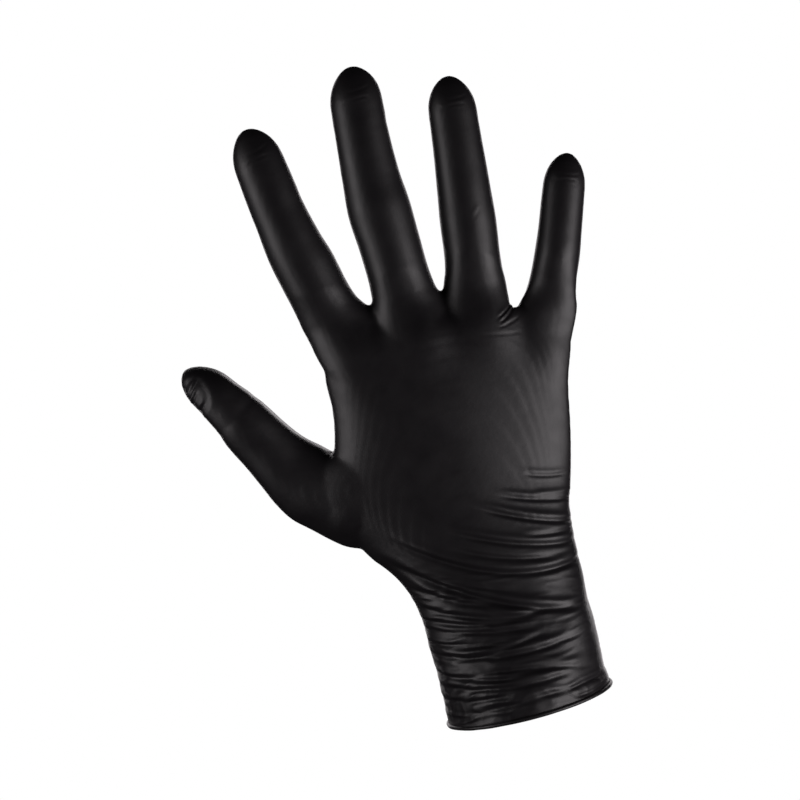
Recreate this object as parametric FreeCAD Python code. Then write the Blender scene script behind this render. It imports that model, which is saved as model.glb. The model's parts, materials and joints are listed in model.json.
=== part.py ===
import FreeCAD, Part
import math
import os
from collections import namedtuple

# A disposable dipped glove in the shape it takes on an open right hand. Millimetres.
# Origin: centre of the cuff's open end. +Z runs up the glove to the middle fingertip,
# +X to the little finger's side, and +Y out of the palm, so the back of the hand faces -Y.
#
# A real glove is one dipped film. Here the film is cut into closed zones at the lines where
# it folds, so that each finger can bend: the zones between two folds keep their shape, and
# the fold zones are the short sleeves that crumple when a joint bends.

Vector = FreeCAD.Vector

# ---- driving dimensions ----
FILM = 0.15             # film thickness
CUFF_RADIUS = 29.5      # inside radius of the round hem
HEM_HEIGHT = 6.0        # straight part of the hem
BEAD_RADIUS = 0.7       # rolled edge of the film
WRIST_FOLD_LOW = 33.0   # the sleeve that folds when the wrist bends
WRIST_FOLD_HIGH = 64.0
MID_DEPTH = 1.0         # where the back of the hand's film meets the palm's
SECTION_POLES = 20      # poles around each cross-section
STATION_STEP = 4.0      # largest spacing of the cross-sections of a tube
TIP_TAPER = 0.58        # 0.5 is an ellipsoid, and more is a more pointed fingertip
TIP_STEPS = (0.3, 0.55, 0.75, 0.88, 0.96, 0.992)   # shares of the tip's length with a section

# A cross-section of the hand: its two side points in the XZ plane, how far it reaches towards
# the back of the hand and the palm, and how square it is (2 is an ellipse).
HandSection = namedtuple("HandSection", "left right back palm square")

SLEEVE = [
    HandSection((-CUFF_RADIUS, 0), (CUFF_RADIUS, 0), CUFF_RADIUS, CUFF_RADIUS, 2.0),
    HandSection((-CUFF_RADIUS, HEM_HEIGHT), (CUFF_RADIUS, HEM_HEIGHT), CUFF_RADIUS, CUFF_RADIUS, 2.0),
    HandSection((-29.1, 13), (29.5, 13), 28.4, 28.0, 2.0),
    HandSection((-29.0, 22), (29.5, 22), 25.8, 25.2, 2.05),
    HandSection((-29.0, 32), (29.8, 32), 23.0, 22.6, 2.1),
    HandSection((-29.4, 42), (30.0, 42), 20.8, 20.8, 2.2),
    HandSection((-31.2, 50), (30.1, 50), 19.8, 20.4, 2.2),
    HandSection((-34.5, 57), (30.6, 57), 19.2, 20.4, 2.2),
    HandSection((-39.9, WRIST_FOLD_HIGH), (31.4, WRIST_FOLD_HIGH), 18.7, 20.6, 2.2),
]
HAND = [
    SLEEVE[-1],
    HandSection((-44.0, 71), (33.3, 71), 18.0, 20.6, 2.25),
    HandSection((-47.0, 82), (36.3, 81), 16.8, 20.0, 2.3),
    HandSection((-46.5, 95), (38.9, 92), 15.6, 18.6, 2.4),
    HandSection((-43.0, 108), (40.9, 103), 14.6, 16.8, 2.4),
    HandSection((-40.2, 121), (43.2, 114), 13.6, 14.6, 2.4),
    HandSection((-39.4, 132), (46.0, 123), 12.4, 12.6, 2.3),
    HandSection((-37.0, 141), (46.2, 130), 10.6, 10.6, 2.2),
    HandSection((-31.0, 146.5), (42.2, 135), 7.6, 7.6, 2.1),
    HandSection((-24.0, 148.5), (35.0, 137.5), 3.6, 3.6, 2.0),
]

# A finger's cross-section: distance along its axis from the web line, how far its centre
# stands to the little finger's side of the axis and to the palm's side, and its half sizes.
Station = namedtuple("Station", "along side palm half_width half_depth")
# A fold: where the sleeve starts and ends along the axis.
Fold = namedtuple("Fold", "low high")
Finger = namedtuple("Finger", "name root splay length tip_length zones stations")

FINGER_ZONES = ("finger_base", "finger_middle", "fingertip")
FINGERS = [
    Finger("index", (-33.0, 153.5), -9.8, 71.4, 13.5,
           [Fold(1, 11), Fold(17, 27), Fold(40, 49)], [
        Station(-36, 2.2, 0.5, 11.0, 9.0),
        Station(-20, 2.2, 0.6, 11.6, 10.4),
        Station(-9, 2.1, 0.8, 12.7, 10.8),
        Station(-4, 1.5, 0.8, 12.4, 10.5),
        Station(0, 0.4, 0.8, 11.3, 10.3),
        Station(8, -0.3, 0.8, 10.8, 10.1),
        Station(18, -0.7, 0.7, 10.9, 10.1),
        Station(28, -1.3, 0.7, 10.3, 9.6),
        Station(40, -1.2, 1.2, 9.5, 8.6),
        Station(48, -0.8, 1.8, 9.4, 8.2),
        Station(58, -0.3, 2.9, 9.1, 7.6),
        Station(72, 0.2, 4.6, 8.9, 7.2)]),
    Finger("middle", (-5.85, 154.0), 1.75, 81.8, 13.0,
           [Fold(1, 11.5), Fold(20.5, 31.5), Fold(48, 58)], [
        Station(-36, 0.0, -0.4, 11.0, 9.2),
        Station(-20, 0.1, -0.4, 11.8, 10.8),
        Station(-7, 0.3, -0.4, 13.0, 11.0),
        Station(-3, 0.3, -0.4, 12.4, 10.7),
        Station(0, 0.2, -0.4, 11.5, 10.5),
        Station(8, -0.2, -0.4, 10.9, 10.2),
        Station(18, -0.7, -0.4, 11.0, 10.3),
        Station(29, -1.4, -0.3, 11.3, 10.2),
        Station(42, -1.7, 0.3, 10.3, 9.0),
        Station(56, -1.4, 1.3, 9.6, 8.3),
        Station(67, -0.8, 2.6, 9.4, 7.9),
        Station(82, 0.1, 4.8, 9.2, 7.4)]),
    Finger("ring", (20.0, 153.9), 7.3, 70.4, 12.5,
           [Fold(1, 11), Fold(18, 28.5), Fold(41.5, 50.5)], [
        Station(-36, -0.6, 0.3, 10.4, 8.8),
        Station(-22, -0.5, 0.3, 11.2, 10.0),
        Station(-11, -0.6, 0.3, 11.8, 10.4),
        Station(-4, -0.2, 0.3, 11.2, 10.1),
        Station(0, 0.1, 0.3, 10.3, 9.8),
        Station(8, 0.4, 0.3, 9.9, 9.5),
        Station(18, 0.5, 0.3, 10.0, 9.5),
        Station(28, 0.5, 0.4, 9.6, 9.1),
        Station(40, 0.5, 0.9, 9.1, 8.2),
        Station(48, 0.4, 1.5, 8.8, 7.8),
        Station(58, 0.3, 2.5, 8.6, 7.3),
        Station(70, 0.2, 4.0, 8.4, 7.0)]),
    Finger("little", (43.4, 138.8), 22.7, 51.8, 12.0,
           [Fold(2, 10), Fold(14.5, 22.5), Fold(29.5, 37)], [
        Station(-34, -1.4, 1.2, 9.0, 7.8),
        Station(-20, -1.0, 1.4, 9.6, 8.8),
        Station(-8, -0.6, 1.6, 10.1, 9.2),
        Station(-3, 0.1, 1.6, 9.6, 8.9),
        Station(1, 0.4, 1.6, 8.6, 8.5),
        Station(8, 0.9, 1.6, 8.2, 8.1),
        Station(16, 1.1, 1.6, 8.1, 8.0),
        Station(24, 0.9, 1.8, 7.8, 7.4),
        Station(33, 0.5, 2.4, 7.7, 6.9),
        Station(42, 0.2, 3.2, 7.5, 6.5),
        Station(52, 0.1, 4.4, 7.3, 6.2)]),
    Finger("thumb", (-58.6, 100.1), -33.2, 55.4, 13.0,
           [Fold(2, 12), Fold(20, 29)], [
        Station(-40.5, 12.4, 3.8, 14.0, 10.5),
        Station(-28, 7.4, 5.2, 15.6, 15.2),
        Station(-16, 3.6, 5.6, 15.0, 14.6),
        Station(-7, 0.9, 5.8, 14.3, 13.8),
        Station(0, 0.4, 6.0, 13.4, 12.8),
        Station(8, 0.0, 6.2, 11.6, 11.6),
        Station(17, 0.4, 6.5, 10.6, 11.0),
        Station(25, 0.9, 6.9, 10.2, 10.6),
        Station(34, 1.6, 7.5, 8.9, 9.8),
        Station(42, 1.6, 8.3, 8.1, 9.2),
        Station(57, 0.4, 10.2, 7.8, 8.8)]),
]


def smooth_between(rows, at, column):
    """The value of a column at a distance along the rows, by a cubic through them that doesn't overshoot."""
    def slope(i):
        if i == 0 or i == len(rows) - 1:
            return 0.0
        before, here, after = rows[i - 1], rows[i], rows[i + 1]
        rise_in = (here[column] - before[column]) / (here[0] - before[0])
        rise_out = (after[column] - here[column]) / (after[0] - here[0])
        if rise_in * rise_out <= 0:
            return 0.0
        return 2 * rise_in * rise_out / (rise_in + rise_out)

    i = max(j for j in range(len(rows) - 1) if rows[j][0] <= at or j == 0)
    low, high = rows[i], rows[i + 1]
    span = high[0] - low[0]
    t = min(max((at - low[0]) / span, 0.0), 1.0)
    return ((1 + 2 * t) * (1 - t) ** 2 * low[column] + t * (1 - t) ** 2 * span * slope(i)
            + t * t * (3 - 2 * t) * high[column] - t * t * (1 - t) * span * slope(i + 1))


def closed_curve(point_at):
    """A closed smooth wire near point_at(angle), with its poles evenly spaced in angle."""
    # Poles of a uniform cubic lie this much further out than the round curve they make.
    swell = 3 / (2 + math.cos(2 * math.pi / SECTION_POLES))
    angles = [2 * math.pi * k / SECTION_POLES for k in range(SECTION_POLES)]
    curve = Part.BSplineCurve()
    curve.buildFromPolesMultsKnots(
        [point_at(angle, swell) for angle in angles],
        [1] * (SECTION_POLES + 1), list(range(SECTION_POLES + 1)), True, 3)
    return Part.Wire([curve.toShape()])


def rounded(value, square):
    """A cosine or sine bent so that the outline grows squarer as square rises above 2."""
    return math.copysign(abs(value) ** (2 / square), value)


def hand_wire(section, inset):
    """The outline of a hand section, moved inwards by inset. The hem's sections are true circles."""
    left = Vector(section.left[0], 0, section.left[1])
    right = Vector(section.right[0], 0, section.right[1])
    middle, across = (left + right) / 2, (right - left).normalize()
    half_width = (right - left).Length / 2 - inset
    if section.back == section.palm == CUFF_RADIUS:
        return Part.Wire([Part.makeCircle(half_width, middle)])

    def point_at(angle, swell):
        sideways = half_width * rounded(math.cos(angle), section.square)
        reach = (section.palm if math.sin(angle) > 0 else section.back) - inset
        depth = reach * rounded(math.sin(angle), section.square)
        return middle + (across * sideways + Vector(0, depth, 0)) * swell

    return closed_curve(point_at)


def finger_axes(finger):
    """The web-line point of a finger's axis, its direction to the tip, and the way across it."""
    lean = math.radians(finger.splay)
    root = Vector(finger.root[0], 0, finger.root[1])
    return root, Vector(math.sin(lean), 0, math.cos(lean)), Vector(math.cos(lean), 0, -math.sin(lean))


def finger_wire(finger, along, inset):
    """The outline of a finger at a distance along its axis, moved inwards by inset."""
    root, up, across = finger_axes(finger)
    side, palm, half_width, half_depth = (
        smooth_between(finger.stations, along, column) for column in (1, 2, 3, 4))
    dome_start = finger.length - finger.tip_length
    taken = max(0.0, along + inset - dome_start) / finger.tip_length
    taper = (1 - min(taken, 0.999) ** 2) ** TIP_TAPER
    centre = root + up * along + across * side + Vector(0, palm, 0)

    def point_at(angle, swell):
        sideways = (half_width * taper - inset) * math.cos(angle)
        depth = (half_depth * taper - inset) * math.sin(angle)
        return centre + (across * sideways + Vector(0, depth, 0)) * swell

    return closed_curve(point_at)


def loft(wires):
    return Part.makeLoft(wires, True, False)


def finger_solid(finger, low, high, inset):
    """The finger between two distances along its axis, filled, with its surface moved inwards by inset."""
    dome_start = finger.length - finger.tip_length
    top = min(high, dome_start)
    steps = max(2, math.ceil((top - low) / STATION_STEP))
    places = [low + (top - low) * k / steps for k in range(steps + 1)]
    if high > dome_start:
        places += [dome_start + (finger.tip_length - inset) * share for share in TIP_STEPS]
    return loft([finger_wire(finger, along, inset) for along in places])


def finger_film(finger, low, high):
    """The film of a finger between two distances along its axis."""
    return finger_solid(finger, low, high, 0).cut(finger_solid(finger, low, high, FILM))


def sections_between(sections, low, high):
    """The sections from height low to height high, with new ones at both heights where there are none."""
    rows = [(s.left[1], s.left[0], s.right[0], s.back, s.palm, s.square) for s in sections]
    heights = [low] + [row[0] for row in rows if low < row[0] < high] + [high]
    made = []
    for height in heights:
        left, right, back, palm, square = (
            smooth_between(rows, height, column) for column in (1, 2, 3, 4, 5))
        made.append(HandSection((left, height), (right, height), back, palm, square))
    return made


def sleeve_film(low, high):
    """The film of the cuff and wrist between two heights."""
    sections = sections_between(SLEEVE, low, high)
    outside = loft([hand_wire(s, -FILM) for s in sections])
    return outside.cut(loft([hand_wire(s, 0) for s in sections]))


def cuff_sleeve():
    """The straight round hem and the sleeve above it, in one piece of film."""
    hem = Part.makeCylinder(CUFF_RADIUS + FILM, HEM_HEIGHT).cut(Part.makeCylinder(CUFF_RADIUS, HEM_HEIGHT))
    return hem.fuse(sleeve_film(HEM_HEIGHT, WRIST_FOLD_LOW)).removeSplitter()


def cuff_bead():
    """The film's edge, rolled up outside the hem."""
    bead = Part.makeTorus(CUFF_RADIUS + FILM + BEAD_RADIUS, BEAD_RADIUS)
    bead.translate(Vector(0, 0, BEAD_RADIUS))
    return bead


def hand_film():
    """The film round the palm and the back of the hand, with the five roots of the fingers."""
    def filled(inset):
        top = HAND[-1]
        lowered = top._replace(left=(top.left[0], top.left[1] - inset), right=(top.right[0], top.right[1] - inset))
        body = loft([hand_wire(s, inset - FILM) for s in HAND[:-1] + [lowered]])
        roots = [finger_solid(f, f.stations[0].along, f.zones[0].low, inset) for f in FINGERS]
        return body.fuse(roots)

    return filled(0).cut(filled(FILM))


def hand_halves():
    """The hand's film as two zones, one over the back and one over the palm, which meet at mid-depth."""
    film = hand_film()
    box = film.BoundBox
    corner = Vector(box.XMin - 1, MID_DEPTH - box.YLength, box.ZMin - 1)
    back_space = Part.makeBox(box.XLength + 2, box.YLength, box.ZLength + 2, corner)
    return film.common(back_space), film.cut(back_space)


def zone_names(finger):
    """The names of a finger's stiff zones, from its base to its tip."""
    if finger.name == "thumb":
        return ["thumb_base", "thumb_tip"]
    return [f"{finger.name}_{zone}" for zone in FINGER_ZONES]


def finger_nodes(finger):
    """Each fold sleeve and each stiff zone of a finger, by name."""
    ends = [fold.low for fold in finger.zones[1:]] + [finger.length]
    made = {}
    for fold, end, name in zip(finger.zones, ends, zone_names(finger)):
        made[f"{name}_fold"] = finger_film(finger, fold.low, fold.high)
        made[name] = finger_film(finger, fold.high, end)
    return made


def main():
    back, palm = hand_halves()
    nodes = {
        "cuff_bead": cuff_bead(),
        "cuff_sleeve": cuff_sleeve(),
        "wrist_fold": sleeve_film(WRIST_FOLD_LOW, WRIST_FOLD_HIGH),
        "hand_back": back,
        "hand_palm": palm,
    }
    for finger in FINGERS:
        nodes.update(finger_nodes(finger))
    os.makedirs("parts", exist_ok=True)
    for name, shape in nodes.items():
        solids = shape.Solids
        print(f"{name:26s} solids {len(solids)} valid {shape.isValid()} volume {shape.Volume:9.2f} mm3")
        shape.exportStep(f"parts/{name}.step")
    print("film volume", round(sum(s.Volume for s in nodes.values()), 1), "mm3")


main()
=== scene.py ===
import json
import math

import bmesh
import bpy
import numpy as np
from mathutils import Matrix, Vector
from mathutils.kdtree import KDTree


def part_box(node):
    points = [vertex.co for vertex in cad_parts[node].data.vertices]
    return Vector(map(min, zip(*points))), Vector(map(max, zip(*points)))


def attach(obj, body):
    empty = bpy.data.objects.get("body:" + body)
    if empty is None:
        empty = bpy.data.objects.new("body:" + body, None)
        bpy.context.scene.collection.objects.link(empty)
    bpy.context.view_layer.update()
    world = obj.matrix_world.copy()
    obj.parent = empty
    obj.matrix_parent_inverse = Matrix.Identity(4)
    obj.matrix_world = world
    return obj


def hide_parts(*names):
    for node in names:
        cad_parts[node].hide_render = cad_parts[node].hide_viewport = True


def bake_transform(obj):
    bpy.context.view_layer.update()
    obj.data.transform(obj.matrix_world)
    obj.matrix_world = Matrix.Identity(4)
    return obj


# A black dipped glove in the shape of an open right hand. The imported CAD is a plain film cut
# into zones. Here the zones' outer walls are joined into one skin, the skin gets its webs,
# knuckles, nails and folds, and it is cut again along the same planes, so each CAD node is
# replaced by the piece of skin that covers it. Metres, in the part's own frame: +Z up the
# glove, +X to the little finger, and the back of the hand faces -Y.

MM = 0.001
VOXEL = 0.9 * MM            # mesh size of the skin
SMOOTHING = 6               # rounds of smoothing, which also rounds the webs
STRETCH_ROUNDS = 300        # rounds of evening out the depth over the roots of the fingers
CUT_SNAP = 0.08 * MM        # vertices this near a cut count as on it, which leaves no slivers
SIDE_SLOPE = 0.42           # how much thinner the back is at the little finger's edge
FINE_BELOW = 88 * MM        # under this height the mesh is twice as fine, for the folds
WEB_CORNER = (14 * MM, -20 * MM, 127 * MM)      # the box of the creases beside the ring finger's web
WEB_FAR_CORNER = (33 * MM, 0.0, 143 * MM)
FILM = 0.25 * MM            # film thickness of the pieces
RIM_HEIGHT = 0.6 * MM       # where the skin ends inside the rolled bead
BEAD_RADIUS = 0.72 * MM
THUMB_TURN = math.radians(40)   # the thumb's nail faces this far from the back of the hand
SEAM = 0.12 * MM            # how close the edges of the hand's two halves lie
SEED = 11
SHARP = math.radians(30)    # a CAD zone's faces that meet at more than this belong to different walls
RIM_WIDTH = 0.12 * MM       # area over outline of a face group that is only a cut rim of the film
HEM_EXTENSION = 4 * MM      # how far the cuff's lower edge is drawn down before it is cut
CUT_REACH = 16 * MM         # how far from its centre a finger's cut reaches, and the wrist's
WRIST_CUT_REACH = 60 * MM
LAMP_DISTANCE = 1.1
LAMP_TINT = (1.0, 0.95, 0.97)
FLOOR_HEIGHT = -0.16
FLOOR_REACH = 3
# The bodies that fill the web between the thumb and the hand, in mm: centre, radius and depth.
WEB_FILLERS = (((-40, 1.5, 91), 15, 13.5), ((-43, 1.5, 84), 11.5, 12.8))

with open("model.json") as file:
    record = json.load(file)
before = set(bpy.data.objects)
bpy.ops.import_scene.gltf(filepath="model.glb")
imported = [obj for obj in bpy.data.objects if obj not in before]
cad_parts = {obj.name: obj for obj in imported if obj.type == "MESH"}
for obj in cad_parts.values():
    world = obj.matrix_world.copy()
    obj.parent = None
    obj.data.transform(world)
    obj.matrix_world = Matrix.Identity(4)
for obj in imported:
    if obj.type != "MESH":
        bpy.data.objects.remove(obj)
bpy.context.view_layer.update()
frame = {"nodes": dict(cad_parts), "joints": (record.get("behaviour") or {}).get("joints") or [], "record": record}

# The pieces of the skin and the CAD nodes that each covers: one each, but both halves of the hand
# share one piece.
HAND_NODES = ("hand_back", "hand_palm")
PIECES = {name: (name,) for name in frame["nodes"] if name not in HAND_NODES + ("cuff_bead",)}
PIECES["hand_shell"] = HAND_NODES


# ---- reading the CAD zones ----
def face_groups(bm, joins):
    """Groups a mesh's faces: neighbours are in one group if joins says so of an edge between them."""
    seen, groups = set(), []
    for seed in bm.faces:
        if seed.index in seen:
            continue
        seen.add(seed.index)
        group, stack = [], [seed]
        while stack:
            face = stack.pop()
            group.append(face)
            for edge in face.edges:
                if not joins(edge):
                    continue
                for other in edge.link_faces:
                    if other.index not in seen:
                        seen.add(other.index)
                        stack.append(other)
        groups.append(group)
    return groups


def is_smooth(edge):
    return len(edge.link_faces) == 2 and edge.calc_face_angle(0) <= SHARP


def is_rim(region):
    """A cut rim of the film is a ring as narrow as the film is thick."""
    members = {face.index for face in region}
    area = sum(face.calc_area() for face in region)
    outline = sum(e.calc_length() for f in region for e in f.edges
                  if any(g.index not in members for g in e.link_faces))
    return outline > 0 and area / outline < RIM_WIDTH


def total_area(faces):
    return sum(face.calc_area() for face in faces)


def pour(source, target):
    """Adds one bmesh to another, and frees it."""
    copied = bpy.data.meshes.new("copied")
    source.to_mesh(copied)
    target.from_mesh(copied)
    bpy.data.meshes.remove(copied)
    source.free()


def outer_wall(nodes):
    """The outer wall of a zone as an open bmesh, and its cut rims as (centre, outward normal)."""
    whole = bmesh.new()
    rims = []
    for node in nodes:
        bm = bmesh.new()
        bm.from_mesh(node.data)
        bmesh.ops.remove_doubles(bm, verts=bm.verts, dist=1e-6)
        bm.faces.index_update()
        doomed = []
        for region in face_groups(bm, is_smooth):
            if is_rim(region):
                points = [v.co for f in region for v in f.verts]
                normal = sum((f.normal * f.calc_area() for f in region), Vector()).normalized()
                rims.append((sum(points, Vector()) / len(points), normal))
                doomed += region
        bmesh.ops.delete(bm, geom=doomed, context="FACES")
        bm.faces.index_update()
        shells = sorted(face_groups(bm, lambda edge: True), key=total_area)
        bmesh.ops.delete(bm, geom=[f for shell in shells[:-1] for f in shell], context="FACES")
        pour(bm, whole)
    if len(nodes) > 1:
        edge = [v for v in whole.verts if v.is_boundary]
        bmesh.ops.remove_doubles(whole, verts=edge, dist=SEAM)
    return whole, rims


def close_wall(bm, lowest):
    """Closes a zone's wall into a solid. The cuff's lower edge is first drawn down, to be cut later."""
    open_edges = [e for e in bm.edges if e.is_boundary]
    hem = [e for e in open_edges if max(v.co.z for v in e.verts) < lowest + 0.05 * MM]
    if hem:
        made = bmesh.ops.extrude_edge_only(bm, edges=hem)["geom"]
        drawn = [g for g in made if isinstance(g, bmesh.types.BMVert)]
        bmesh.ops.translate(bm, verts=drawn, vec=(0, 0, -HEM_EXTENSION))
    bmesh.ops.holes_fill(bm, edges=[e for e in bm.edges if e.is_boundary], sides=0)
    bmesh.ops.triangulate(bm, faces=bm.faces[:])


# ---- the skin ----
def soft_step(low, high, x):
    t = np.clip((x - low) / (high - low), 0.0, 1.0)
    return t * t * (3 - 2 * t)


def read_vectors(collection, key):
    """A vector of every item of a mesh's collection, as an array with one row each."""
    flat = np.empty(len(collection) * 3)
    collection.foreach_get(key, flat)
    return flat.reshape(-1, 3)


def web_filler(centre, radius, depth):
    """A rounded body, in mm, that fills the web between the thumb and the hand."""
    made = bmesh.new()
    bmesh.ops.create_icosphere(made, subdivisions=4, radius=radius * MM)
    bmesh.ops.scale(made, verts=made.verts, vec=(1, depth / radius, 1))
    bmesh.ops.translate(made, verts=made.verts, vec=[c * MM for c in centre])
    return made


def shaped(points, normals, edges):
    """The skin over a hand: the back slopes away to the little finger's side, and the film lies
    stretched over the roots of the fingers and the thumb, so its depth is evened out there."""
    x, depth, z = points[:, 0], points[:, 1].copy(), points[:, 2]
    over_hand = soft_step(60, 78, z) * soft_step(156, 128, z)
    right = x - (-1.0 + 2.5 * (134 - z) / 59)
    beyond = (np.sqrt(right ** 2 + 9) + right) / 2
    sunk = 1 - SIDE_SLOPE * np.clip(beyond / 42, 0, 1) * over_hand
    depth = np.where(depth < 1, 1 + (depth - 1) * sunk, depth)

    web_height = 160 - 0.75 * np.clip(x - 22, 0, None)
    over_roots = soft_step(108, 122, z) * soft_step(web_height + 3, web_height - 9, z)
    over_roots *= soft_step(-56, -48, x)
    over_thumb = soft_step(34, 18, np.hypot(x + 43, z - 88))
    over_palm = 0.3 * soft_step(62, 80, z) * soft_step(124, 112, z)
    pull = np.maximum(np.maximum(over_roots, over_thumb), over_palm)
    pull *= soft_step(0.12, 0.45, np.abs(normals[:, 1]))
    start = np.concatenate([edges[:, 0], edges[:, 1]])
    end = np.concatenate([edges[:, 1], edges[:, 0]])
    near = pull[start] > 0
    start, end = start[near], end[near]
    count = np.maximum(np.bincount(start, minlength=len(points)), 1)
    for _ in range(STRETCH_ROUNDS):
        mean = np.bincount(start, weights=depth[end], minlength=len(points)) / count
        depth += 0.7 * pull * (mean - depth)
    return np.column_stack([x, depth, z])


def new_object(name, mesh):
    made = bpy.data.objects.new(name, mesh)
    bpy.context.scene.collection.objects.link(made)
    return made


def with_modifiers(source, *settings):
    """A new mesh: the object's mesh with each modifier (kind, values) applied in turn."""
    for kind, values in settings:
        modifier = source.modifiers.new(kind, kind)
        for key, value in values.items():
            setattr(modifier, key, value)
    bpy.context.view_layer.update()
    evaluated = source.evaluated_get(bpy.context.evaluated_depsgraph_get())
    mesh = bpy.data.meshes.new_from_object(evaluated)
    bpy.data.objects.remove(source)
    return mesh


def cut_plane(bm, centre, normal, reach):
    """Cuts the skin along a plane, near a point only."""
    near = [f for f in bm.faces if (f.calc_center_median() - centre).length < reach]
    geometry = set(near)
    for face in near:
        geometry.update(face.edges)
        geometry.update(face.verts)
    bmesh.ops.bisect_plane(bm, geom=list(geometry), plane_co=centre, plane_no=normal, dist=CUT_SNAP)


walls = {}
rims = {}
joined = bmesh.new()
for name, members in sorted(PIECES.items()):
    wall, rims[name] = outer_wall([frame["nodes"][member] for member in members])
    walls[name] = [f.calc_center_median() for f in wall.faces]
    close_wall(wall, 0.0)
    pour(wall, joined)
for centre, radius, depth in WEB_FILLERS:
    pour(web_filler(centre, radius, depth), joined)
solid = bpy.data.meshes.new("solid")
joined.to_mesh(solid)
joined.free()
skin = with_modifiers(
    new_object("skin", solid),
    ("REMESH", {"mode": "VOXEL", "voxel_size": VOXEL, "adaptivity": 0.0}),
    ("SMOOTH", {"factor": 0.5, "iterations": SMOOTHING}))

edges = np.empty(len(skin.edges) * 2, dtype=np.int32)
skin.edges.foreach_get("vertices", edges)
normals = read_vectors(skin.vertex_normals, "vector")
points = shaped(read_vectors(skin.vertices, "co") / MM, normals, edges.reshape(-1, 2))
skin.vertices.foreach_set("co", (points * MM).ravel())
skin.update()

# Finer quads where the folds are, clean cuts along every rim of the CAD zones, and an open cuff.
bm = bmesh.new()
bm.from_mesh(skin)
crease_boxes = [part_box(name) for name in frame["nodes"] if name.endswith(("fingertip", "thumb_tip"))]
crease_boxes.append((WEB_CORNER, WEB_FAR_CORNER))


def is_creased(edge):
    """Whether an edge lies where the skin has fine folds."""
    low = [min(v.co[k] for v in edge.verts) for k in range(3)]
    high = [max(v.co[k] for v in edge.verts) for k in range(3)]
    return high[2] < FINE_BELOW or any(
        all(low[k] > box[0][k] - VOXEL and high[k] < box[1][k] + VOXEL for k in range(3))
        for box in crease_boxes)


fine = [e for e in bm.edges if is_creased(e)]
bmesh.ops.subdivide_edges(bm, edges=fine, cuts=1, use_grid_fill=True)
for name, found in rims.items():
    for centre, normal in found:
        if name.endswith("fold"):
            cut_plane(bm, centre, normal, WRIST_CUT_REACH if name == "wrist_fold" else CUT_REACH)
bmesh.ops.bisect_plane(bm, geom=bm.verts[:] + bm.edges[:] + bm.faces[:], dist=1e-7,
                       plane_co=(0, 0, RIM_HEIGHT), plane_no=(0, 0, -1), clear_outer=True)
bm.to_mesh(skin)
bm.free()

# Each face belongs to the CAD zone whose wall is nearest to it.
zone_names = sorted(walls)
tree = KDTree(sum(len(w) for w in walls.values()))
owner = []
for index, name in enumerate(zone_names):
    for centre in walls[name]:
        tree.insert(centre, len(owner))
        owner.append(index)
tree.balance()
face_zone = np.array([owner[tree.find(p.center)[1]] for p in skin.polygons])


# ---- relief ----
def gradient_noise(points, seed=0):
    """Smooth noise from -1 to 1 at many points at once, with a cell size of 1."""
    table = np.random.RandomState(SEED + seed)
    order = table.permutation(512)
    slopes = table.normal(size=(512, 3))
    slopes /= np.linalg.norm(slopes, axis=1)[:, None]
    cell = np.floor(points).astype(int)
    inside = points - cell
    ease = inside ** 3 * (inside * (inside * 6 - 15) + 10)
    total = np.zeros(len(points))
    for corner in range(8):
        step = np.array([corner & 1, corner >> 1 & 1, corner >> 2 & 1])
        at = cell + step
        key = order[(at[:, 2] + order[(at[:, 1] + order[at[:, 0] % 512]) % 512]) % 512]
        value = np.einsum("ij,ij->i", slopes[key], inside - step)
        weight = np.prod(np.where(step == 1, ease, 1 - ease), axis=1)
        total += value * weight
    return total * 1.5


def bump(points, centre, size, height):
    """A soft round rise in the XZ plane."""
    away = ((points[:, 0] - centre[0]) / size[0]) ** 2 + ((points[:, 2] - centre[1]) / size[1]) ** 2
    return height * np.exp(-away)


def fold(across, up, start, end, sag, depth, width):
    """A crease along a shallow arc, with the film it pushes up along its upper side. The places are
    (across, up) from start to end, sag is how far the arc dips, and width is that of the crease."""
    t = np.clip((across - start[0]) / (end[0] - start[0]), -0.25, 1.25)
    line = start[1] + (end[1] - start[1]) * t - 4 * sag * t * (1 - t)
    slope = (end[1] - start[1] - 4 * sag * (1 - 2 * t)) / (end[0] - start[0])
    away = (up - line) / np.sqrt(1 + slope ** 2)
    along = soft_step(-0.12, 0.22, t) * soft_step(1.12, 0.78, t)
    crease = np.exp(-(away / width) ** 2)
    ridge = np.exp(-((away - 1.9 * width) / (1.5 * width)) ** 2)
    lower = np.exp(-((away + 1.6 * width) / (1.2 * width)) ** 2)
    return along * depth * (0.75 * ridge + 0.25 * lower - crease)


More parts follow.
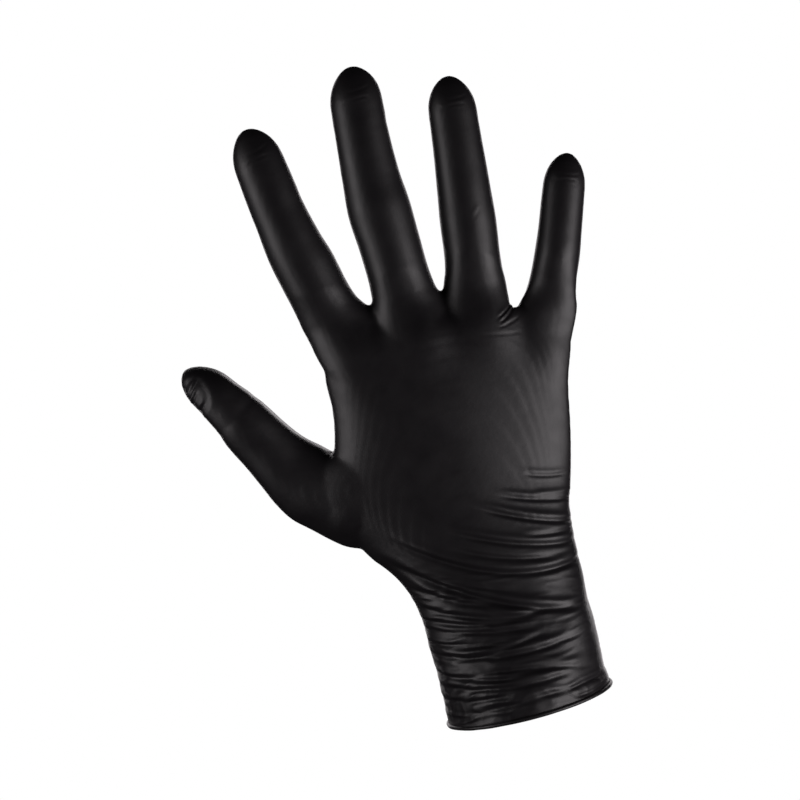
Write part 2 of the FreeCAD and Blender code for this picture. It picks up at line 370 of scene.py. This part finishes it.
# The folds on the back of the wrist and cuff, from the little finger's side down to the thumb's:
# (x, z) at both ends, sag, depth and width, in mm.
BACK_FOLDS = [
    ((19, 81.5), (33, 77.5), 0.6, 0.30, 0.7),
    ((9, 76.5), (36, 68), 0.9, 0.50, 0.8),
    ((21, 73), (36, 70), 0.3, 0.35, 0.7),
    ((1, 74), (36, 59.5), 1.3, 0.65, 0.9),
    ((14, 61), (34, 58), 0.6, 0.30, 0.8),
    ((-10, 68), (35, 53), 2.2, 0.70, 1.0),
    ((-29, 68), (34, 47.5), 7.0, 0.95, 1.15),
    ((-11, 62.5), (20, 51.5), 1.4, 0.45, 0.9),
    ((-34, 62), (24, 32), 4.0, 1.00, 1.2),
    ((-24, 57), (4, 44), 1.0, 0.40, 0.9),
    ((-29, 52), (-4, 41), 1.2, 0.50, 1.0),
    ((-31, 46), (13, 34.5), 2.8, 0.75, 1.05),
    ((-32, 41), (4, 33.5), 1.0, 0.60, 0.9),
    ((-32, 37.5), (7, 30), 0.6, 0.55, 0.9),
    ((-33, 33), (-6, 28), 0.6, 0.50, 0.8),
    ((-33, 29), (20, 23), 2.6, 0.70, 1.0),
    ((-22, 24.5), (9, 27), 0.5, 0.45, 0.8),
    ((-33, 22), (-3, 15), 0.8, 0.60, 0.9),
    ((-22, 18.5), (22, 12), -2.2, 0.60, 1.0),
    ((-33, 17), (17, 12), 1.8, 0.60, 1.0),
    ((-33, 11.5), (-9, 10), 0.8, 0.55, 0.9),
    ((-26, 5), (13, 6.5), -0.8, 0.50, 0.9),
    ((14, 6), (28, 5.5), -0.8, 0.55, 0.8),
    ((16, 3), (27, 3.2), 0.6, 0.45, 0.7),
]

# Short creases on the back, as above: beside the web of the ring finger, and on that finger.
WEB_FOLDS = [
    ((23.6, 134.6), (30.6, 138.6), 0.5, 0.30, 0.55),
    ((23.2, 136.8), (29.8, 140.8), 0.4, 0.20, 0.5),
    ((23.0, 133.2), (31.0, 134.8), 0.4, 0.14, 0.5),
    ((16.0, 132.4), (30.0, 129.8), 0.4, 0.07, 0.6),
    ((24.5, 173.1), (27.8, 175.6), 0.2, 0.16, 0.45),
]


class Fingertip:
    """The end of a finger, with its own directions, read from the zone that covers it."""

    def __init__(self, name, nail_turn):
        (centre, down), = rims[name]
        self.base = np.array(centre) / MM
        self.up = -np.array(down)
        self.back = np.array([0.0, -1.0, 0.0])
        outward = np.cross(self.back, self.up)
        self.back = self.back * math.cos(nail_turn) + outward * math.sin(nail_turn)
        self.across = np.cross(self.up, self.back)
        wall = np.array(walls[name]) / MM - self.base
        self.length = (wall @ self.up).max()
        self.half_width = (wall @ self.across).max()

    def place(self, p):
        """How far each point is from the tip's end, and how far across the finger."""
        away = p - self.base
        return self.length - away @ self.up, away @ self.across

    def facing(self, normal):
        return soft_step(0.25, 0.7, normal @ self.back)


def nail_relief(p, normal, tip, end_gap, nail_length, height):
    """A nail under the film: a flat plate with soft edges, and small creases at both of its ends."""
    from_end, across = tip.place(p)
    half_length, half_width = nail_length / 2, 0.62 * tip.half_width
    middle = end_gap + half_length
    reach = (np.abs(across / half_width) ** 4 + np.abs((from_end - middle) / half_length) ** 4) ** 0.25
    plate = height * soft_step(1.25, 0.85, reach)
    ends = fold(across, -from_end, (-0.7 * half_width, -end_gap - nail_length - 0.4),
                (0.8 * half_width, -end_gap - nail_length + 0.5), -0.5, 0.1, 0.5)
    ends += fold(across, -from_end, (-0.3 * half_width, -middle - 1.5),
                 (half_width, -middle - 0.6), 0.4, 0.07, 0.5)
    near = (from_end < end_gap + nail_length + 5) & (np.abs(across) < 1.6 * tip.half_width)
    return np.where(near, (plate + ends) * tip.facing(normal), 0)


def thumb_nail_relief(p, normal, tip):
    """The thumb's nail: the film sags behind its free edge, and stands in wrinkles over it."""
    from_end, across = tip.place(p)
    reach = (np.abs(across / 5.2) ** 3 + np.abs((from_end - 9.6) / 6.0) ** 3) ** (1 / 3)
    hollow = -0.5 * soft_step(1.15, 0.8, reach)
    wrinkles = fold(across, -from_end, (-4.5, -8.6), (3.5, -6.2), 0.4, 0.36, 0.6)
    wrinkles += fold(across, -from_end, (-4.2, -11.6), (2.6, -9.0), -0.4, 0.36, 0.55)
    wrinkles += fold(across, -from_end, (-3.6, -13.8), (3.0, -13.2), 0.3, 0.25, 0.55)
    near = (from_end < 22) & (np.abs(across) < 12)
    return np.where(near, (hollow + wrinkles) * tip.facing(normal), 0)


def finger_relief(p, normal):
    """The nails, the knuckles' faint creases and the webs' creases, in mm."""
    total = np.zeros(len(p))
    for name in ("index", "middle", "ring", "little"):
        tip = Fingertip(f"{name}_fingertip", 0.0)
        total += nail_relief(p, normal, tip, 3.0, 0.95 * tip.half_width, 0.10)
    total += thumb_nail_relief(p, normal, Fingertip("thumb_tip", THUMB_TURN))
    to_back = soft_step(0.2, 0.6, -normal[:, 1])
    for start, end, sag, depth, width in WEB_FOLDS:
        total += fold(p[:, 0], p[:, 2], start, end, sag, depth, width) * to_back
    return total


def hand_relief(p, normal):
    """The knuckles, bones and valleys of the back of the hand and the pads of the palm, in mm."""
    back = soft_step(0.15, 0.75, -normal[:, 1])
    palm = soft_step(0.15, 0.75, normal[:, 1])
    over_hand = soft_step(60, 78, p[:, 2]) * soft_step(150, 134, p[:, 2])
    rise = 0.03 * (p[:, 2] - 64) * over_hand
    rise += bump(p, (-31, 132), (8, 11), 1.1) + bump(p, (-2.5, 137), (7, 10), 1.3)
    rise += bump(p, (20.5, 133), (7, 10), 1.0) + bump(p, (40, 119), (6, 9), 1.0)
    rise -= bump(p, (-18, 144), (4, 9), 0.9) + bump(p, (7.5, 143), (4, 9), 0.9)
    rise -= bump(p, (31, 131), (4, 9), 0.8)
    rise += bump(p, (24, 26), (9, 8), 1.6)
    pads = bump(p, (-24, 84), (15, 20), 1.6) + bump(p, (24, 84), (12, 24), 1.3)
    pads -= bump(p, (-4, 98), (14, 18), 1.8)
    for x, z in ((-28, 138), (-5, 140), (19, 138), (40, 126)):
        pads += bump(p, (x, z), (9, 6), 0.8)
    return rise * back + pads * palm


def wrist_relief(p, normal):
    """The folds of the loose film round the wrist and cuff, in mm."""
    to_back = soft_step(-0.15, 0.5, -normal[:, 1])
    to_palm = soft_step(-0.15, 0.5, normal[:, 1])
    face_on = 0.35 + 0.65 * soft_step(0.1, 0.6, np.abs(normal[:, 1]))
    total = np.zeros(len(p))
    for start, end, sag, depth, width in BACK_FOLDS:
        total += fold(p[:, 0], p[:, 2], start, end, sag, depth, width) * to_back
    draw = np.random.RandomState(SEED)
    for z in np.arange(6, 76, 4.2):
        left, right = sorted(draw.uniform(-36, 36, 2))
        if right - left < 16:
            left, right = left - 10, right + 10
        tilt = draw.uniform(-4, 4)
        sag = draw.uniform(-1.5, 2.5)
        depth = draw.uniform(0.35, 0.85)
        width = draw.uniform(0.8, 1.2)
        start, end = (left, z + tilt), (right, z - tilt)
        total += to_palm * fold(p[:, 0], p[:, 2], start, end, sag, depth, width)
    # Fine wrinkles run round the wrist, close together towards the thumb's side and the cuff.
    slant = p[:, 2] + 0.28 * p[:, 0] * soft_step(8, 40, p[:, 2])
    warp = 2.4 * gradient_noise(p * [0.06, 0.06, 0.08], 1)
    lines = np.stack([p[:, 0] * 0.07, p[:, 1] * 0.07, (slant + warp) * 0.36], 1)
    fine = -np.abs(gradient_noise(lines, 2)) + 0.25
    cross = -np.abs(gradient_noise(p * [0.16, 0.16, 0.22] + warp[:, None] * 0.2, 3)) + 0.25
    crowd = soft_step(70, 40, p[:, 2]) * (0.35 + 0.65 * soft_step(12, -22, p[:, 0]))
    crowd += 0.35 * soft_step(16, 4, p[:, 2])
    total += face_on * (0.80 * fine * crowd + 0.35 * cross * crowd * soft_step(44, 20, p[:, 2]))
    total += 0.5 * gradient_noise(p * [0.05, 0.05, 0.09], 4) * soft_step(64, 30, p[:, 2])
    return total * soft_step(0, 3.0, p[:, 2])


points = read_vectors(skin.vertices, "co") / MM
normals = read_vectors(skin.vertex_normals, "vector")
lift = hand_relief(points, normals) + wrist_relief(points, normals) + finger_relief(points, normals)
points = points + normals * lift[:, None]
skin.vertices.foreach_set("co", (points * MM).ravel())
skin.update()


# ---- the pieces ----
def keep_rest_place(mesh, coords):
    """Stores where each vertex is at rest, so that the material's grain moves with the film."""
    rest = mesh.attributes.new("rest_place", "FLOAT_VECTOR", "POINT")
    rest.data.foreach_set("vector", coords.astype(np.float32).ravel())


def film_piece(name, faces, outside, direction):
    """A piece of the skin as closed film: its faces, the same faces one thickness in, and its rims."""
    used, local = np.unique(np.concatenate(faces), return_inverse=True)
    count = len(used)
    corners = [len(f) for f in faces]
    local_faces = [list(f) for f in np.split(local, np.cumsum(corners)[:-1])]
    sides = {(a, b): None for face in local_faces for a, b in zip(face, face[1:] + face[:1])}
    rim = [[b, a, a + count, b + count] for a, b in sides if (b, a) not in sides]
    inner = [[v + count for v in reversed(face)] for face in local_faces]
    coords = np.concatenate([outside[used], outside[used] - direction[used] * FILM / MM]) * MM
    mesh = bpy.data.meshes.new(name)
    mesh.from_pydata(coords.tolist(), [], local_faces + inner + rim)
    mesh.shade_smooth()
    facing = np.concatenate([direction[used], -direction[used]])
    mesh.normals_split_custom_set_from_vertices(facing.tolist())
    keep_rest_place(mesh, coords)
    return new_object(name, mesh)


def rolled_bead(outside):
    """The rolled edge: a thin roll that follows the skin's lower edge, not quite even."""
    low = outside[np.abs(outside[:, 2] - RIM_HEIGHT / MM) < 0.02]
    middle = low.mean(axis=0)
    turn = np.arctan2(low[:, 1] - middle[1], low[:, 0] - middle[0])
    order = np.argsort(turn)
    reach = np.linalg.norm((low - middle)[order, :2], axis=1)
    steps, sides = 420, 14
    angles = np.linspace(-math.pi, math.pi, steps, endpoint=False)
    radii = np.interp(angles, turn[order], reach, period=2 * math.pi)
    circle = np.stack([np.cos(angles), np.sin(angles), np.zeros(steps)], 1)
    uneven = 1 + 0.12 * gradient_noise(circle * 5.0, 9)
    coords = []
    for k in range(steps):
        out = circle[k]
        for side in range(sides):
            around = 2 * math.pi * side / sides
            r = BEAD_RADIUS / MM * uneven[k]
            centre = middle + out * (radii[k] + 0.35 * BEAD_RADIUS / MM)
            centre[2] = BEAD_RADIUS / MM
            coords.append(centre + out * r * math.cos(around) + np.array([0, 0, r * math.sin(around)]))
    faces = []
    for k in range(steps):
        for side in range(sides):
            a, b = k * sides + side, k * sides + (side + 1) % sides
            c, d = ((k + 1) % steps) * sides + (side + 1) % sides, ((k + 1) % steps) * sides + side
            faces.append((a, d, c, b))
    coords = np.array(coords) * MM
    mesh = bpy.data.meshes.new("skin_cuff_bead")
    mesh.from_pydata(coords.tolist(), [], faces)
    mesh.shade_smooth()
    keep_rest_place(mesh, coords)
    return new_object("skin_cuff_bead", mesh)


# ---- materials ----
def film_material(name, dark, light, roughness, grain):
    """Black nitrile: nearly black, faintly mottled, satin, with a fine dipped grain."""
    material = bpy.data.materials.new(name)
    material.use_nodes = True
    nodes, links = material.node_tree.nodes, material.node_tree.links
    nodes.clear()
    output = nodes.new("ShaderNodeOutputMaterial")
    shader = nodes.new("ShaderNodeBsdfPrincipled")
    links.new(shader.outputs["BSDF"], output.inputs["Surface"])
    place = nodes.new("ShaderNodeAttribute")
    place.attribute_name = "rest_place"

    def noise_at(scale, detail):
        made = nodes.new("ShaderNodeTexNoise")
        made.inputs["Scale"].default_value = scale
        made.inputs["Detail"].default_value = detail
        links.new(place.outputs["Vector"], made.inputs["Vector"])
        return made.outputs["Fac"]

    def ramp(source, low, high, out_low, out_high):
        made = nodes.new("ShaderNodeMapRange")
        values = {"From Min": low, "From Max": high, "To Min": out_low, "To Max": out_high}
        for key, value in values.items():
            made.inputs[key].default_value = value
        links.new(source, made.inputs["Value"])
        return made.outputs["Result"]

    colour = nodes.new("ShaderNodeMix")
    colour.data_type = "RGBA"
    colour.inputs["A"].default_value = (*dark, 1)
    colour.inputs["B"].default_value = (*light, 1)
    links.new(ramp(noise_at(60, 4), 0.3, 0.7, 0, 1), colour.inputs["Factor"])
    links.new(colour.outputs["Result"], shader.inputs["Base Color"])
    uneven = ramp(noise_at(140, 5), 0.3, 0.7, roughness - 0.035, roughness + 0.035)
    links.new(uneven, shader.inputs["Roughness"])
    shader.inputs["IOR"].default_value = 1.5
    shader.inputs["Specular IOR Level"].default_value = 0.5
    coarse = nodes.new("ShaderNodeBump")
    coarse.inputs["Strength"].default_value = 0.35
    coarse.inputs["Distance"].default_value = 0.12 * MM
    links.new(noise_at(420, 3), coarse.inputs["Height"])
    fine = nodes.new("ShaderNodeBump")
    fine.inputs["Strength"].default_value = grain
    fine.inputs["Distance"].default_value = 0.03 * MM
    links.new(noise_at(3600, 2), fine.inputs["Height"])
    links.new(coarse.outputs["Normal"], fine.inputs["Normal"])
    links.new(fine.outputs["Normal"], shader.inputs["Normal"])
    return material


# Each slot's dark and light colours, roughness and grain.
NITRILE = ((0.0060, 0.0050, 0.0063), (0.0095, 0.0082, 0.0095), 0.46, 0.5)
BEAD = ((0.0052, 0.0044, 0.0055), (0.0080, 0.0070, 0.0080), 0.46, 0.4)
LOOKS = {"nitrile_film": NITRILE, "nitrile_fold": NITRILE, "rolled_bead": BEAD}
MATERIALS = {slot: film_material(slot, *look) for slot, look in LOOKS.items()}
slot_of = {row["node"]: row["material_slot"] for row in frame["record"]["subparts"]}
body_of = {node: body for body, members in frame["record"]["behaviour"]["bodies"].items() for node in members}
joint_of = {d["node"]: joint for joint in frame["joints"] for d in joint.get("deforming_nodes", [])}

points = read_vectors(skin.vertices, "co") / MM
normals = read_vectors(skin.vertex_normals, "vector")
polygons = [np.array(p.vertices[:]) for p in skin.polygons]
pieces = {}
for index, name in enumerate(zone_names):
    members = [polygons[k] for k in np.flatnonzero(face_zone == index)]
    pieces[name] = film_piece(f"skin_{name}", members, points, normals)
pieces["cuff_bead"] = rolled_bead(points)
for name, piece in pieces.items():
    covered = PIECES.get(name, (name,))
    piece.data.materials.append(MATERIALS[slot_of[covered[0]]])
    if name in joint_of:
        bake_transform(piece)
    else:
        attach(piece, body_of[covered[0]])
    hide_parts(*covered)
bpy.data.meshes.remove(skin)


# ---- camera, light and backdrop ----
VIEW_CENTRE = Vector((-16.7, 0, 117.3)) * MM
VIEW_DISTANCE = 1.063
VIEW_ELEVATION = math.radians(4)
VIEW_ROLL = math.radians(15)

forward = Vector((0, math.cos(VIEW_ELEVATION), -math.sin(VIEW_ELEVATION)))
level_up = Vector((0, math.sin(VIEW_ELEVATION), math.cos(VIEW_ELEVATION)))
level_right = Vector((1, 0, 0))
right = math.cos(VIEW_ROLL) * level_right - math.sin(VIEW_ROLL) * level_up
up = math.sin(VIEW_ROLL) * level_right + math.cos(VIEW_ROLL) * level_up


def oriented(location, x_axis, y_axis):
    """A matrix at a place with its x and y axes given, so that -z looks away from x cross y."""
    z_axis = x_axis.cross(y_axis)
    made = Matrix((x_axis, y_axis, z_axis)).transposed().to_4x4()
    made.translation = location
    return made


camera_data = bpy.data.cameras.new("camera")
camera_data.lens = 135
camera_data.sensor_width = 36
camera_data.clip_end = 50
camera = new_object("camera", camera_data)
camera.matrix_world = oriented(VIEW_CENTRE - forward * VIEW_DISTANCE, right, up)
bpy.context.scene.camera = camera


def soft_box(name, angle, height, size, power):
    """A rectangular lamp aimed at the glove. Its angle is from the camera, positive to the right."""
    way = math.cos(angle) * -forward + math.sin(angle) * right
    place = VIEW_CENTRE + way * LAMP_DISTANCE + up * height
    back = (place - VIEW_CENTRE).normalized()
    x_axis = up.cross(back).normalized()
    data = bpy.data.lights.new(name, "AREA")
    data.shape = "RECTANGLE"
    data.size, data.size_y = size
    data.energy = power
    data.color = LAMP_TINT
    lamp = new_object(name, data)
    lamp.matrix_world = oriented(place, x_axis, back.cross(x_axis))


soft_box("right_soft_box", math.radians(60), -0.25, (0.80, 0.9), 10)
soft_box("left_soft_box", math.radians(-70), -0.10, (0.55, 0.9), 4.8)
soft_box("back_right_soft_box", math.radians(164), 0.12, (0.6, 0.8), 4)
soft_box("back_left_soft_box", math.radians(-164), 0.12, (0.5, 0.8), 3)

world = bpy.data.worlds.new("studio")
bpy.context.scene.world = world
world.use_nodes = True
nodes, links = world.node_tree.nodes, world.node_tree.links
nodes.clear()
seen = nodes.new("ShaderNodeBackground")
seen.inputs["Color"].default_value = (1, 1, 1, 1)
fill = nodes.new("ShaderNodeBackground")
fill.inputs["Color"].default_value = (0.30, 0.29, 0.31, 1)
fill.inputs["Strength"].default_value = 0.04
path = nodes.new("ShaderNodeLightPath")
choose = nodes.new("ShaderNodeMixShader")
output = nodes.new("ShaderNodeOutputWorld")
links.new(path.outputs["Is Camera Ray"], choose.inputs["Fac"])
links.new(fill.outputs["Background"], choose.inputs[1])
links.new(seen.outputs["Background"], choose.inputs[2])
links.new(choose.outputs["Shader"], output.inputs["Surface"])

floor_mesh = bpy.data.meshes.new("floor")
floor_corners = [(x * FLOOR_REACH, y * FLOOR_REACH, FLOOR_HEIGHT)
                 for x, y in ((-1, -1), (1, -1), (1, 1), (-1, 1))]
floor_mesh.from_pydata(floor_corners, [], [(0, 1, 2, 3)])
paper = bpy.data.materials.new("white_paper")
paper.use_nodes = True
paper.node_tree.nodes.clear()
glow = paper.node_tree.nodes.new("ShaderNodeEmission")
glow.inputs["Color"].default_value = (1, 1, 1, 1)
target = paper.node_tree.nodes.new("ShaderNodeOutputMaterial")
paper.node_tree.links.new(glow.outputs["Emission"], target.inputs["Surface"])
floor_mesh.materials.append(paper)
floor = new_object("floor", floor_mesh)
floor.visible_diffuse = floor.visible_glossy = floor.visible_shadow = False

bpy.context.scene.view_settings.view_transform = "Standard"
